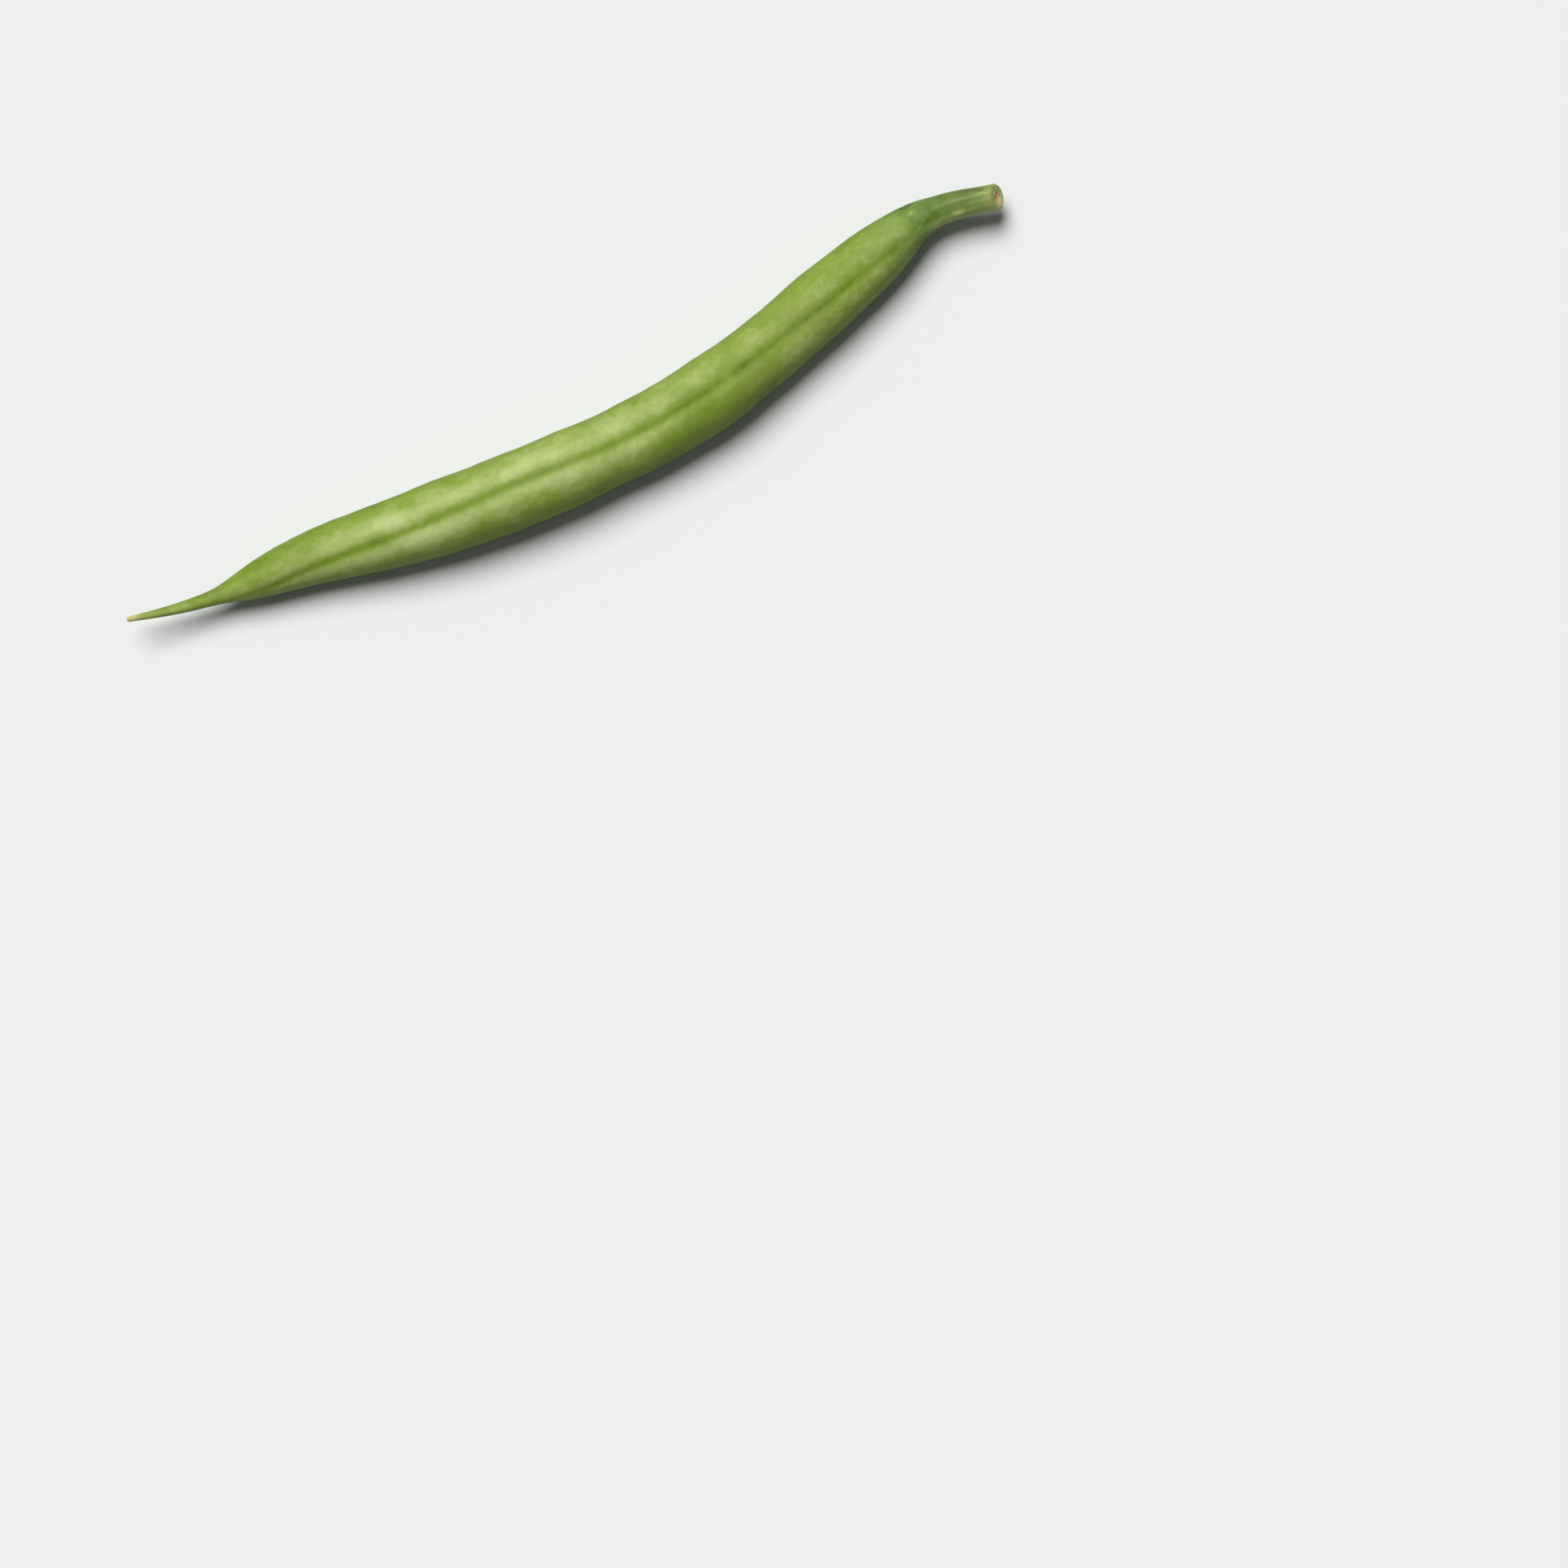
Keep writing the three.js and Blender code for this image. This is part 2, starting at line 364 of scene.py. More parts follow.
class Recipe:
    """The nodes of a material or a sky, with a short way to add and join them."""

    def __init__(self, owner: bpy.types.Material | bpy.types.World) -> None:
        """Starts with no nodes.

        Args:
            owner: The material or sky that the nodes are for.
        """
        owner.use_nodes = True
        self.owner, self.tree = owner, owner.node_tree
        self.tree.nodes.clear()

    def node(self, kind: str, inputs: dict, **settings: object) -> bpy.types.Node:
        """Adds a node.

        Args:
            kind: The node's type, without the leading "ShaderNode".
            inputs: Socket name or number to a value, or to another node's output socket.
            **settings: The node's own properties.

        Returns:
            The new node.
        """
        made = self.tree.nodes.new("ShaderNode" + kind)
        for key, value in settings.items():
            setattr(made, key, value)
        for key, value in inputs.items():
            if isinstance(value, Socket):
                self.tree.links.new(value, made.inputs[key])
            else:
                made.inputs[key].default_value = value
        return made

    def layer(self, layer: Layer) -> Socket:
        """Returns the socket that reads one of the skin's measures."""
        reader = self.node("Attribute", {}, attribute_name=layer.value, attribute_type="GEOMETRY")
        return reader.outputs["Vector" if layer is Layer.GRAIN else "Fac"]

    def math(self, operation: str, first: object, second: object) -> Socket:
        """Returns the result of an operation, such as ADD, on two sockets or numbers."""
        return self.node("Math", {0: first, 1: second}, operation=operation).outputs[0]

    def scaled(self, value: object, low: float, high: float) -> Socket:
        """Returns a 0-to-1 value stretched to run from low to high."""
        return self.node("MapRange", {"Value": value, "To Min": low, "To Max": high}).outputs[0]

    def step(self, value: object, low: float, high: float) -> Socket:
        """Returns a smooth step of a value, 0 at low and 1 at high."""
        inputs = {"Value": value, "From Min": low, "From Max": high}
        return self.node("MapRange", inputs, interpolation_type="SMOOTHSTEP").outputs[0]

    def clouds(self, vector: object, clouds: Clouds) -> Socket:
        """Returns the clouds as a value from 0 to 1, at the place that the vector gives."""
        inputs = {"Vector": vector, "Scale": clouds.scale, "Detail": clouds.detail}
        return self.node("TexNoise", inputs).outputs["Fac"]

    def blend(self, share: object, first: object, second: object) -> Socket:
        """Returns the first colour turning into the second as share goes from 0 to 1."""
        return self.node("Mix", {0: share, 6: first, 7: second}, data_type="RGBA").outputs[2]

    def ramp(self, value: object, stops: Stops) -> Socket:
        """Returns a colour that runs through the stops' colours as a value goes up.

        Args:
            value: The value's socket.
            stops: The places of the colours from 0 to 1, and the colours, in order.

        Returns:
            The colour's socket.
        """
        made = self.node("ValToRGB", {"Fac": value})
        elements = made.color_ramp.elements
        while len(elements) < len(stops):
            elements.new(0.5)
        for element, (place, colour) in zip(elements, stops):
            element.position, element.color = place, linear(colour)
        return made.outputs["Color"]

    def finish(self, surface: bpy.types.Node, output: str = "OutputMaterial") -> bpy.types.ID:
        """Joins the surface to an output node, and returns the material or sky."""
        self.node(output, {"Surface": surface.outputs[0]})
        return self.owner


@dataclass(frozen=True)
class LivingSkin:
    """Living green skin: a soft satin bloom over mottled flesh that lets a little light in.

    The scar's dry colours are straw, pinkish pith and a dark brown core.
    """

    greens: Stops = ((0, "#2f4a08"), (0.25, "#607a1b"), (0.5, "#738832"), (1, "#a3af70"))
    cool_greens: Stops = ((0, "#2f4410"), (0.2, "#506a22"), (0.5, "#708840"), (1, "#9ba766"))
    straw: str = "#a9a66a"
    dry: Stops = ((0.4, "#a9a66a"), (0.65, "#d6aa88"), (1, "#8f684a"))
    dry_edge: Pair = (0.0, 0.3)  # the scar's values between green and dry
    speck: str = "#56601f"
    speck_scale: float = 330.0  # cells to the metre
    speck_share: float = 0.16  # how many cells have one
    speck_size: Pair = (0.1, 0.03)  # its edge and core, as shares of a cell
    stretch: float = 0.85  # how much shorter the clouds are across the bean than along it
    patches: Clouds = Clouds(250, 2.5, 0.3)
    flecks: Clouds = Clouds(1200, 3, 0.18)
    yellowing: Clouds = Clouds(130, 2, 0.1)
    yellowing_edge: Pair = (0.45, 0.75)
    pores: Clouds = Clouds(2600, 2, 0.025)  # the depth in millimetres
    satin: Pair = (0.54, 0.66)  # the roughness, from deep to light patches
    dulled: float = 0.2  # how much rougher the deep green of seams and flanks is
    dull_tones: Pair = (0.45, 0.2)  # the tones where that begins and is full
    gloss: float = 0.2
    flesh: float = 0.15  # how much of the light goes through the flesh
    flesh_reach: tuple[float, float, float] = (0.7, 1.0, 0.3)  # millimetres, by red, green, blue
    bloom: float = 0.02
    bloom_softness: float = 0.5
    bloom_colour: Colour = (0.8, 0.88, 0.72, 1.0)

    def make(self, name: str) -> bpy.types.Material:
        """Makes the material. Its roughness is the patches' plus the dulling.

        Args:
            name: The material's name.

        Returns:
            The material, which reads the layers of the mesh that wears it.
        """
        recipe = Recipe(bpy.data.materials.new(name))
        grain = recipe.layer(Layer.GRAIN)
        scale = (self.stretch, 1.0, 1.0)
        drawn = recipe.node("Mapping", {"Vector": grain, "Scale": scale}).outputs[0]
        patches = recipe.clouds(drawn, self.patches)
        dull = recipe.step(recipe.layer(Layer.TONE), *self.dull_tones)
        dull = recipe.scaled(dull, 0.0, self.dulled)
        height = {"Height": recipe.clouds(drawn, self.pores), "Distance": self.pores.depth * MM}
        inputs = {
            "Base Color": self.colour(recipe, grain, drawn, patches),
            "Roughness": recipe.math("ADD", recipe.scaled(patches, *self.satin), dull),
            "Normal": recipe.node("Bump", height).outputs[0],
            "Subsurface Weight": self.flesh,
            "Subsurface Radius": self.flesh_reach,
            "Subsurface Scale": MM,
            "Specular IOR Level": self.gloss,
            "Sheen Weight": self.bloom,
            "Sheen Roughness": self.bloom_softness,
            "Sheen Tint": self.bloom_colour,
        }
        return recipe.finish(recipe.node("BsdfPrincipled", inputs))

    def colour(self, recipe: Recipe, grain: Socket, drawn: Socket, patches: Socket) -> Socket:
        """Returns the skin's colour.

        The tone, made uneven by patches and flecks, picks a green from the warm ramp and one
        from the cool ramp. Coolness blends them, warmth and the yellowing clouds turn them to
        straw, the specks lie on them, and the scar's dry colours cover them. A speck is the
        middle of a random cell, and the cell's own random shade switches most cells off.

        Args:
            recipe: The material's nodes.
            grain: The place on the straightened bean.
            drawn: The same, drawn out along the bean.
            patches: The patches, from 0 to 1.

        Returns:
            The socket of the colour.
        """
        flecks = recipe.clouds(drawn, self.flecks)
        patchy = recipe.scaled(patches, -self.patches.depth, self.patches.depth)
        flecked = recipe.scaled(flecks, -self.flecks.depth, self.flecks.depth)
        uneven = recipe.math("ADD", patchy, flecked)
        tone = recipe.math("ADD", recipe.layer(Layer.TONE), uneven)
        warm, cool = recipe.ramp(tone, self.greens), recipe.ramp(tone, self.cool_greens)
        green = recipe.blend(recipe.layer(Layer.COOLNESS), warm, cool)
        yellowing = recipe.step(recipe.clouds(grain, self.yellowing), *self.yellowing_edge)
        yellowing = recipe.scaled(yellowing, 0.0, self.yellowing.depth)
        warmth = recipe.math("ADD", recipe.layer(Layer.WARMTH), yellowing)
        yellowed = recipe.blend(warmth, green, linear(self.straw))
        cells = recipe.node("TexVoronoi", {"Vector": grain, "Scale": self.speck_scale})
        core = recipe.step(cells.outputs["Distance"], *self.speck_size)
        shade = recipe.node("SeparateColor", {"Color": cells.outputs["Color"]}).outputs[0]
        chosen = recipe.step(shade, 1.0 - self.speck_share, 1.0)
        specks = recipe.math("MULTIPLY", core, chosen)
        speckled = recipe.blend(specks, yellowed, linear(self.speck))
        scar = recipe.layer(Layer.SCAR)
        dry = recipe.ramp(scar, self.dry)
        return recipe.blend(recipe.step(scar, *self.dry_edge), speckled, dry)


# ---- The three pieces ----


@dataclass
class Skin:
    """A piece's skin: a stack of rings, each closed on itself, with its measures and finish."""

    part: Part
    rings: Array  # points in millimetres: rings along the spine, points round it, and x, y, z
    poles: Array | None  # the points that close its ends, or None on a shell that comes back
    layers: dict[Layer, tuple[Array | Pair, ...]]  # the values on the rings, then at the poles
    finish: LivingSkin

    def mesh(self, name: str) -> bpy.types.Mesh:
        """Joins the rings by four-sided faces, and closes each end by a fan of triangles.

        Without poles the last ring joins the first.

        Args:
            name: The mesh's name.

        Returns:
            The mesh, in metres, smooth-shaded, with its faces pointing out.
        """
        points = self.rings.reshape(-1, 3)
        ring = np.arange(len(points)).reshape(self.rings.shape[:2])
        if self.poles is None:
            ring = np.concatenate([ring, ring[:1]])
        beside = np.roll(ring, -1, axis=1)
        quads = np.stack([ring[:-1], beside[:-1], beside[1:], ring[1:]], axis=-1)
        faces = quads.reshape(-1, 4).tolist()
        if self.poles is not None:
            first, last = (np.full_like(ring[0], len(points) + end) for end in (0, 1))
            faces += np.stack([first, beside[0], ring[0]], axis=-1).tolist()
            faces += np.stack([last, ring[-1], beside[-1]], axis=-1).tolist()
            points = np.concatenate([points, self.poles])
        mesh = bpy.data.meshes.new(name)
        mesh.from_pydata(points * MM, [], faces, shade_flat=False)
        mesh.validate()
        return mesh

    def settle(self) -> bpy.types.Object:
        """Makes the piece, and puts it into the scene in place of its node.

        Returns:
            The piece's object.
        """
        name = self.part.value + "_skin"
        mesh = self.mesh(name)
        for layer, values in self.layers.items():
            flat = np.concatenate([np.ravel(share) for share in values])
            kind, key = "FLOAT", "value"
            if layer is Layer.GRAIN:
                flat, kind, key = flat * MM, "FLOAT_VECTOR", "vector"
            attribute = mesh.attributes.new(layer.value, kind, "POINT")
            attribute.data.foreach_set(key, flat.astype(np.float32))
        mesh.materials.append(self.finish.make(name))
        shown = placed(mesh)
        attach(shown, BODY)
        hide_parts(self.part.value)
        return shown


@dataclass
class Pod:
    """The pod: two fleshy lobes along a seam, swollen over the seeds, drawn out into a beak.

    What goes by the turn is in degrees off the seam. The second seam lies at 180.
    """

    spine: Spine
    rows: int = 640
    columns: int = 144
    cap_rows: int = 8
    height_to_width: float = 0.93
    seam_turn: Stations = (
        (0, 46), (12, 44), (20, 41), (25, 30), (31, 19), (37, 11), (43, 5.5), (50, -1.5),
        (58, -5.5), (66, -3), (73, -0.5), (81, -1), (90, 0.5), (97, 5), (105, 11), (112, 15),
        (119, 19), (126, 17),
    )
    lobes_start: Rise = Rise(11, 24)
    lobes_end: Rise = Rise(121, 108)
    folds: tuple[Hump, ...] = (
        Hump(0, 13.5, -0.04),  # the valley at the seam
        Hump(40, 22, 0.02),  # the lobes
        Hump(180, 3.5, 0.01),  # the cord of the second seam
        Hump(171, 5, -0.014),  # the channels beside the cord
    )
    seeds: Stations = (  # where each lies, and how far it swells the pod
        (29, 0.06), (37, 0.08), (45.5, 0.1), (54, 0.11), (64, 0.13), (73.5, 0.13), (86, 0.12),
        (95, 0.1), (104.5, 0.08),
    )
    seed_length: float = 3.3
    seeds_on_seams: float = 0.2  # the share of the seeds' swelling that reaches the seams
    slow_waves: Ripple = Ripple(seed=3, height=0.006, shortest=9, longest=32)
    dimples: Ripple = Ripple(17, height=0.011, waves=48, shortest=2.2, longest=6, most_turns=9)
    ribs: Ripple = Ripple(8, height=0.005, waves=30, shortest=6, longest=30, most_turns=26)
    neck: Rise = Rise(121.9, 123.6, 0.35)
    top: float = 123.6
    middle_tone: float = 0.5
    # how much paler the lobes' crowns are along the spine: partly painted highlight where the
    # light falls on the crowns, partly paler skin
    crown_paleness_and_highlight: Stations = (
        (0, 0.1), (18, 0.14), (38, 0.32), (46, 0.31), (52, 0.24), (60, 0.31), (68, 0.22),
        (75, 0.14), (82, 0.04), (90, -0.05), (98, 0), (110, 0.08), (122, 0.04),
    )
    crowns: Hump = Hump(20, 17)
    # the flanks and the underside are painted a deeper green: painted shade on the sides that
    # turn away from the light
    flanks: Rise = Rise(45, 85, 0.2)
    seams: tuple[Hump, ...] = (
        Hump(0, 7.5, 0.23),  # the seam's groove, painted darker as shade in its valley
        Hump(0, 15, 0.04),  # its soft sides, painted shade too
        Hump(180, 4, -0.1),  # the second seam's cord, which is pale
    )
    seams_on_beak: float = 0.3  # the share of the seams' colour and painted shade that the beak has
    beak_root: Hump = Hump(13, 4, 0.1)
    shoulder: Rise = Rise(117.5, 122, 0.22)
    cooling: Rise = Rise(111, 122.5)
    yellow_beak: Rise = Rise(6, 0, 0.4)
    dry_tip: Rise = Rise(2.4, 0.1, 0.38)
    pole_tones: Pair = (0.5, 0.3)
    pole_warmth: Pair = (0.5, 0.0)
    pole_scar: Pair = (0.42, 0.0)
    finish: LivingSkin = LivingSkin()
    # Pale and deep spots on the skin. Those on the lobes' crowns from 36 to 93 mm and by the
    # shoulder are painted highlights, the deep one at 84 mm is painted shade, and those round the
    # far side are mottling.
    blushes_and_painted_light: Stations = (  # the values of a Spot in each
        (60, -29, 3.5, 1.2, 0.1), (71, -31, 3, 1.4, 0.2), (79, -27, 3.5, 1.2, 0.08),
        (85, -34, 2.6, 1.2, 0.14), (93, -24, 4, 1.2, 0.08), (59, 11, 3.5, 1, 0.12),
        (73, 14, 3.5, 1.1, 0.14), (50, -20, 5, 1.2, 0.06), (44, 24, 4, 2, 0.14),
        (36, -22, 4.5, 1.2, 0.12), (119.7, -40, 1.5, 1, 0.14), (84, 36, 7.5, 1.8, -0.16),
        (95.5, 42, 4, 1.6, 0.1), (60, 45, 5, 1.5, 0.07), (65, -50, 9, 1.5, 0.08),
        (98, 118, 5, 1.8, 0.2), (66, 150, 6, 2, 0.18), (47, -110, 5, 1.6, 0.2),
        (88, -100, 6, 1.6, 0.14),
    )

    def lobing(self, distance: Array) -> Array:
        """Returns 1 on the lobed pod, falling to 0 on the round beak and on the neck."""
        return self.lobes_start(distance) * self.lobes_end(distance)

    def from_seam(self, distance: Array, turn: Array) -> Array:
        """Returns the turn away from the seam, which twists slowly along the pod."""
        return turned_from(turn, np.radians(SmoothCurve(self.seam_turn)(distance)))

    def reach(self, distance: Array, turn: Array) -> Array:
        """Returns the skin's distance from the spine.

        It is the half width times the section, an oval with folds and slow waves, plus the
        seeds, small dimples and faint ribs. A seed is a bell along the spine, strongest on the
        flanks, where the sine squared of the turn off the seam is 1. The neck draws in under
        the calyx.

        Args:
            distance: Places along the spine.
            turn: Turns round it, in radians.

        Returns:
            The distances, in millimetres.
        """
        off, lobing = self.from_seam(distance, turn), self.lobing(distance)
        oval = 1.0 / np.hypot(np.sin(off), np.cos(off) / self.height_to_width)
        section = oval + sum(fold(np.degrees(np.abs(off))) for fold in self.folds)
        section = section - 1.0 + self.slow_waves(distance, turn)
        swell = sum(size * bell(distance - place, self.seed_length) for place, size in self.seeds)
        swell = swell * (self.seeds_on_seams + (1.0 - self.seeds_on_seams) * np.sin(off) ** 2)
        raised = lobing * (swell + (self.dimples(distance, turn) + self.ribs(distance, turn)))
        shaped = self.spine.radius(distance) * (1.0 + lobing * section)
        return shaped + raised - self.neck(distance)

    def tone(self, distance: Array, turn: Array) -> Array:
        """Returns how light the skin is.

        It is palest on the crown of each lobe, where highlight is painted, and in the blushes,
        some of which are painted highlights and one painted shade. It is deeper on the flanks,
        which is painted shade, and deepest along the seam, whose groove holds painted shade, at
        the beak's root and on the shoulder.

        Args:
            distance: Places along the spine.
            turn: Turns round it, in radians.

        Returns:
            The values of the tone layer.
        """
        degrees = np.degrees(np.abs(self.from_seam(distance, turn)))
        radius = self.spine.radius(distance)
        # paler crowns: painted highlight, partly paler skin
        pale = SmoothCurve(self.crown_paleness_and_highlight)(distance) * self.crowns(degrees)
        # blushes, with painted highlights and painted shade among them
        blush_and_painted_light = sum(Spot(*values)(distance, turn, radius) for values in self.blushes_and_painted_light)
        seams = sum(seam(degrees) for seam in self.seams)
        shown = self.seams_on_beak + (1.0 - self.seams_on_beak) * self.lobing(distance)
        # the deeper flanks and the seam's groove are painted shade
        deep = self.flanks(degrees) + seams * shown
        deep = deep + self.beak_root(distance) + self.shoulder(distance)
        return self.middle_tone + pale + blush_and_painted_light - deep

    def build(self) -> bpy.types.Object:
        """Builds the pod, beak first.

        The first rows close the beak's tip as a quarter circle, whose reach is the sine and
        whose distance is 1 less the cosine of an angle that goes from 0 to a right angle.

        Returns:
            The finished object.
        """
        tip = self.spine.radius(0.0)
        angle = np.linspace(0.0, np.pi / 2.0, self.cap_rows + 1)[1:]
        rest = np.linspace(tip, self.top, self.rows - self.cap_rows + 1)[1:]
        distance = np.concatenate([tip * (1.0 - np.cos(angle)), rest])[:, None]
        share = np.concatenate([np.sin(angle), np.ones(len(rest))])[:, None]
        distance, turn = np.broadcast_arrays(distance, turns_round(self.columns))
        reach = share * self.reach(distance, turn)
        rings = self.spine.skin(distance, turn, reach)
        ends = np.array([0.0, self.top])
        layers = {
            Layer.GRAIN: (straightened(distance, turn, reach), np.outer(ends, ALONG)),
            Layer.TONE: (self.tone(distance, turn), self.pole_tones),
            Layer.COOLNESS: (self.cooling(distance), self.cooling(ends)),
            Layer.WARMTH: (self.yellow_beak(distance), self.pole_warmth),
            Layer.SCAR: (self.dry_tip(distance), self.pole_scar),
        }
        return Skin(Part.POD, rings, self.spine.at(ends), layers, self.finish).settle()


@dataclass(frozen=True)
class Stalk:
    """What the calyx and the stem share as one stalk: fine ribs with painted highlight on their
    tops, streaks with painted highlights among them, and one side painted paler as bounced light.
    """

    ribs: Stations = ((7, 1.2, 0.022), (12, 2, 0.014))  # how many, turn in radians, height
    finish: LivingSkin = LivingSkin(  # glossier and more even than the pod's
        patches=Clouds(250, 2.5, 0.26), satin=(0.5, 0.62), dulled=0.0, gloss=0.25
    )
    rib_twist: float = 0.3  # radians of rib per millimetre of stalk
    rib_highlight_and_shade: float = 1.7  # painted highlight on the ribs' tops and shade between them, in tone per millimetre of rib
    middle_tone: float = 0.2
    young: Rise = Rise(126, 129, 0.03)
    painted_side_light: Rise = Rise(0.3, 0.95, 0.45)  # painted light on one side, as bounced light, by the sine of the turn
    # Of these, the pale one along the top near the cut end is a painted highlight, and the pale
    # one low on the near side is painted bounced light.
    streaks_and_painted_light: tuple[Spot, ...] = (
        Spot(131.6, -24, 1.3, 0.19, 0.36),
        Spot(130, -52, 2.4, 0.25, -0.24),
        Spot(124.5, 62, 2.4, 0.45, 0.22),
        Spot(126.5, -160, 2.5, 0.5, 0.14),
        Spot(129.5, 150, 1.6, 0.3, -0.12),
    )

    def relief(self, distance: Array, turn: Array) -> Array:
        """Returns the height of the ribs: cosines that go round a whole number of times."""
        twist = self.rib_twist * distance
        return sum(height * np.cos(count * turn + at + twist) for count, at, height in self.ribs)

    def tone(self, distance: Array, turn: Array, radius: Array) -> Array:
        """Returns how light the stalk is: deep, but paler on the ribs' tops and in streaks, with
        painted highlights among them, and on one side, where bounced light is painted.

        Args:
            distance: Places along the spine.
            turn: Turns round it, in radians.
            radius: The stalk's radius there, in millimetres.

        Returns:
            The values of the tone layer.
        """
        # streaks, with painted highlight and painted bounced light among them
        streaks_and_painted_light = sum(streak(distance, turn, radius) for streak in self.streaks_and_painted_light)
        plain = self.middle_tone + self.young(distance) + self.painted_side_light(np.sin(turn))
        return plain + streaks_and_painted_light + self.rib_highlight_and_shade * self.relief(distance, turn)


@dataclass
class Calyx:
    """The calyx: a thin green cup on the pod's neck, ending in five blunt sepals.

    What goes by the share runs from 0 at the rim to 1 at the top, inside the stem.
    """

    spine: Spine
    pod: Pod
    stalk: Stalk = Stalk()
    rows: int = 80
    columns: int = 300
    crowding: float = 1.4  # the power of the row's number that crowds the rows at the rim
    top: float = 125.6
    notches: float = 121.7
    sepal_lengths: tuple[float, ...] = (2.6, 2.1, 1.7, 1.1, 1.4)
    sepal_turn: float = 45.0
    sepal_point: float = 1.25  # the power that makes the sepals' ends more pointed
    rim_waver: Ripple = Ripple(seed=5, height=0.05, most_turns=13)
    tuck: float = 0.02  # how far under the pod's skin the rim lies
    swelling: Rise = Rise(0, 0.32, 0.08)
    thinning: Rise = Rise(0.85, 0.45)
    sinking: Rise = Rise(0.8, 1, 0.07)
    stalklike: Rise = Rise(0.25, 0.7)
    edge: float = 0.01
    wall: Rise = Rise(0, 0.15, 0.16)
    vein_across: Hump = Hump(0, 0.06)  # by the share of a sepal's pitch
    vein_along: Hump = Hump(0.25, 0.25)
    vein_height: float = 0.03
    bud: Spot = Spot(121.4, -22, 0.42, 0.42, 0.14)
    ridge: Spot = Spot(123.8, 62, 2, 0.45, 0.06)
    creases: tuple[Spot, ...] = (
        Spot(122.8, 27, 0.75, 0.28, 0.07),
        Spot(122.6, 96, 1.3, 0.3, 0.06),
        Spot(123, 172, 1.1, 0.35, 0.08),
        Spot(122.8, -70, 1.1, 0.3, 0.07),
    )
    cup_tone: float = 0.31
    vein_paleness: float = 0.04
    bud_paleness: float = 3.0  # tone per millimetre of bud
    crease_shade: float = 0.7  # painted shade in the creases, in tone per millimetre of crease
    own_tone: Rise = Rise(0, 0.25)

    def off_sepal(self, turn: Array, number: int) -> Array:
        """Returns the turn away from a sepal's middle, as a share of the pitch between sepals."""
        pitch = 2.0 * np.pi / len(self.sepal_lengths)
        return turned_from(turn, np.radians(self.sepal_turn) + number * pitch) / pitch

    def rim(self, turn: Array) -> Array:
        """Returns how far along the spine the rim lies.

        Each sepal takes the rim towards the pod by its length times a power of a cosine hump,
        and the whole rim wavers a little.

        Args:
            turn: Turns round the spine, in radians.

        Returns:
            The distances along the spine.
        """
        reach = self.rim_waver(np.zeros_like(turn), turn)
        for number, length in enumerate(self.sepal_lengths):
            off = np.clip(self.off_sepal(turn, number), -0.5, 0.5)
            reach = reach + length * np.cos(off * np.pi) ** self.sepal_point
        return self.notches - reach

    def build(self) -> bpy.types.Object:
        """Builds the calyx as a thin shell, rim first.

        The outer wall starts tucked under the pod's skin at the rim, swells to its full cover
        and sinks into the stem, and the inner wall runs back under it. Each sepal has a faint
        ridge down its middle. The green goes from the pod's, at the rim, to the cup's and the
        stalk's.

        Returns:
            The finished object.
        """
        turn = turns_round(self.columns)
        rim = self.rim(turn)
        share = np.linspace(0.0, 1.0, self.rows)[:, None] ** self.crowding
        outward = rim + (self.top - rim) * share
        turns = np.broadcast_to(turn, outward.shape)
        radius = self.spine.radius(outward)
        hugged = np.maximum(radius, self.pod.reach(outward, turns))
        cover = (self.swelling(share) - self.tuck) * self.thinning(share) - self.sinking(share)
        sepals = range(len(self.sepal_lengths))
        veins = sum(self.vein_across(self.off_sepal(turn, number)) for number in sepals)
        veins = veins * self.vein_along(share)
        bud = self.bud(outward, turns, radius)
        creases = sum(crease(outward, turns, radius) for crease in self.creases)
        raised = self.vein_height * veins + self.ridge(outward, turns, radius) + bud - creases
        grown = self.stalklike(share)
        outer = hugged + cover + raised + grown * self.stalk.relief(outward, turns)
        inner = outer - self.edge - self.wall(share)
        cup = self.cup_tone + self.vein_paleness * veins
        # the creases are painted darker: painted shade
        cup = cup + self.bud_paleness * bud - self.crease_shade * creases
        tone = cup + (self.stalk.tone(outward, turns, radius) - cup) * grown
        rim_tone = self.pod.tone(outward, turns)
        tone = rim_tone + (tone - rim_tone) * self.own_tone(share)
        distance = np.concatenate([outward, outward[::-1]])
        reach = np.concatenate([outer, inner[::-1]])
        turns = np.broadcast_to(turn, distance.shape)
        rings = self.spine.skin(distance, turns, reach)
        plain = np.zeros_like(distance)
        layers = {
            Layer.GRAIN: (straightened(distance, turns, reach),),
            Layer.TONE: (tone, tone[::-1]),
            Layer.COOLNESS: (self.pod.cooling(distance),),
            Layer.WARMTH: (plain,),
            Layer.SCAR: (plain,),
        }
        return Skin(Part.CALYX, rings, None, layers, self.stalk.finish).settle()


